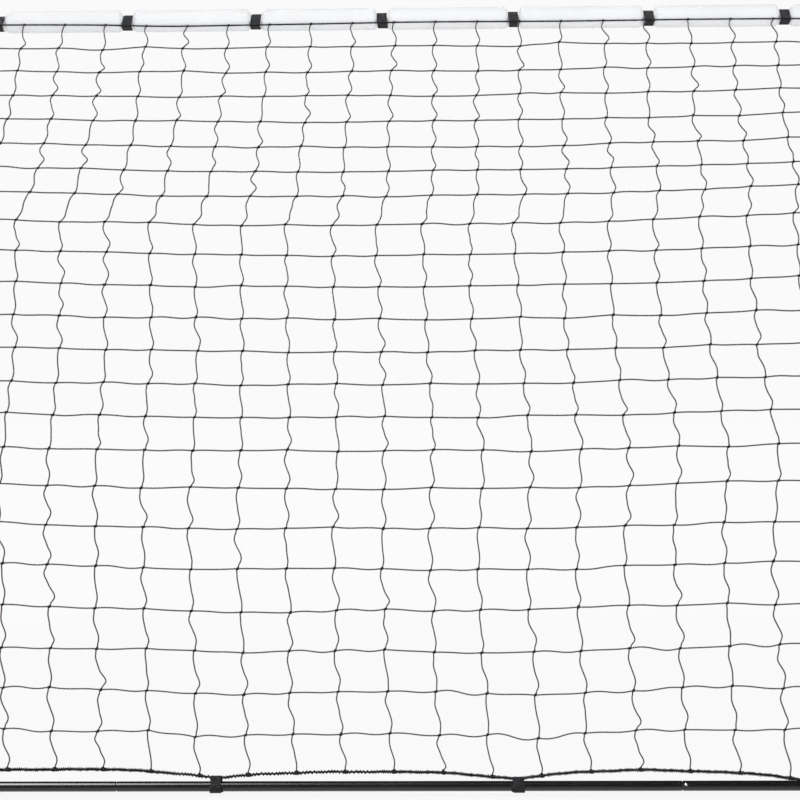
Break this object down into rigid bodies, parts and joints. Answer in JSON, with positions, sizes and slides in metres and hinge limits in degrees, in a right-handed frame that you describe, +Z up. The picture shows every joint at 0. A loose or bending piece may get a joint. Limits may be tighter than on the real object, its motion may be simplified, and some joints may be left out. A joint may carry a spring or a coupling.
{
  "type": "sports net on poles",
  "caption": "Freestanding sports net: a knotted black net strapped to a white padded top rail, bent side stays and a black tube on the floor, with the rail on two poles behind.",
  "frame": {"origin": "on the floor under the middle of the object's box", "axes": "+X along the rail to the right as seen from the net side, +Y from the net side to the poles, +Z up"},
  "size_m": [3.68, 0.7814, 1.83],
  "materials": {
    "black_steel": "satin black powder coat on steel tube",
    "black_plastic": "fine-grained moulded plastic",
    "button_steel": "zinc-plated, smooth",
    "spring_steel": "rolled spring steel",
    "screw_steel": "black oxide",
    "white_cover": "coated white cover cloth, drawn in under each strap",
    "foam": "closed-cell foam tube",
    "black_webbing": "woven hook-and-loop webbing",
    "black_rope": "braided synthetic rope, whipped with twine",
    "net_twine": "knotted twisted twine"
  },
  "bodies": {
    "frame": {"button_spring_ground_left": "spring_steel", "button_spring_ground_right": "spring_steel", "button_spring_pole_left": "spring_steel", "button_spring_pole_right": "spring_steel", "button_spring_stay_left": "spring_steel", "button_spring_stay_right": "spring_steel", "foot_rope": "black_rope", "ground_corner_left": "black_plastic", "ground_corner_right": "black_plastic", "ground_straps": "black_webbing", "ground_tube_left": "black_steel", "ground_tube_right": "black_steel", "ground_tube_section_1": "black_steel", "ground_tube_section_2": "black_steel", "ground_tube_section_3": "black_steel", "head_rope": "black_rope", "net_lower": "net_twine", "net_middle": "net_twine", "net_upper": "net_twine", "pole_foot_left": "black_plastic", "pole_foot_right": "black_plastic", "pole_lower_left": "black_steel", "pole_lower_right": "black_steel", "pole_upper_left": "black_steel", "pole_upper_right": "black_steel", "rail_foam_left": "foam", "rail_foam_middle": "foam", "rail_foam_right": "foam", "rail_sleeve": "white_cover", "rail_straps": "black_webbing", "rail_tube_section_1": "black_steel", "rail_tube_section_2": "black_steel", "rail_tube_section_3": "black_steel", "side_rope_left": "black_rope", "side_rope_right": "black_rope", "side_straps_left": "black_webbing", "side_straps_right": "black_webbing", "socket_screws": "screw_steel", "stay_lower_left": "black_steel", "stay_lower_right": "black_steel", "stay_upper_left": "black_steel", "stay_upper_right": "black_steel", "top_corner_left": "black_plastic", "top_corner_right": "black_plastic"},
    "ground_left_button": {"button_ground_left": "button_steel"},
    "ground_right_button": {"button_ground_right": "button_steel"},
    "pole_left_button": {"button_pole_left": "button_steel"},
    "pole_right_button": {"button_pole_right": "button_steel"},
    "stay_left_button": {"button_stay_left": "button_steel"},
    "stay_right_button": {"button_stay_right": "button_steel"}
  },
  "joints": [
    {"name": "press_ground_left_button", "type": "slide", "parent": "frame", "child": "ground_left_button", "axis": [0, -1, 0], "range_m": [0, 0.0038], "stiffness_N_per_m": 900, "springref_m": -0.004, "deforming": ["button_spring_ground_left"]},
    {"name": "press_ground_right_button", "type": "slide", "parent": "frame", "child": "ground_right_button", "axis": [0, 0.8988, -0.4384], "range_m": [0, 0.0038], "stiffness_N_per_m": 900, "springref_m": -0.004, "deforming": ["button_spring_ground_right"]},
    {"name": "press_pole_left_button", "type": "slide", "parent": "frame", "child": "pole_left_button", "axis": [1, 0, 0], "range_m": [0, 0.0038], "stiffness_N_per_m": 900, "springref_m": -0.004, "deforming": ["button_spring_pole_left"]},
    {"name": "press_pole_right_button", "type": "slide", "parent": "frame", "child": "pole_right_button", "axis": [-1, 0, 0], "range_m": [0, 0.0038], "stiffness_N_per_m": 900, "springref_m": -0.004, "deforming": ["button_spring_pole_right"]},
    {"name": "press_stay_left_button", "type": "slide", "parent": "frame", "child": "stay_left_button", "axis": [1, 0, 0], "range_m": [0, 0.0038], "stiffness_N_per_m": 900, "springref_m": -0.004, "deforming": ["button_spring_stay_left"]},
    {"name": "press_stay_right_button", "type": "slide", "parent": "frame", "child": "stay_right_button", "axis": [-1, 0, 0], "range_m": [0, 0.0038], "stiffness_N_per_m": 900, "springref_m": -0.004, "deforming": ["button_spring_stay_right"]}
  ]
}
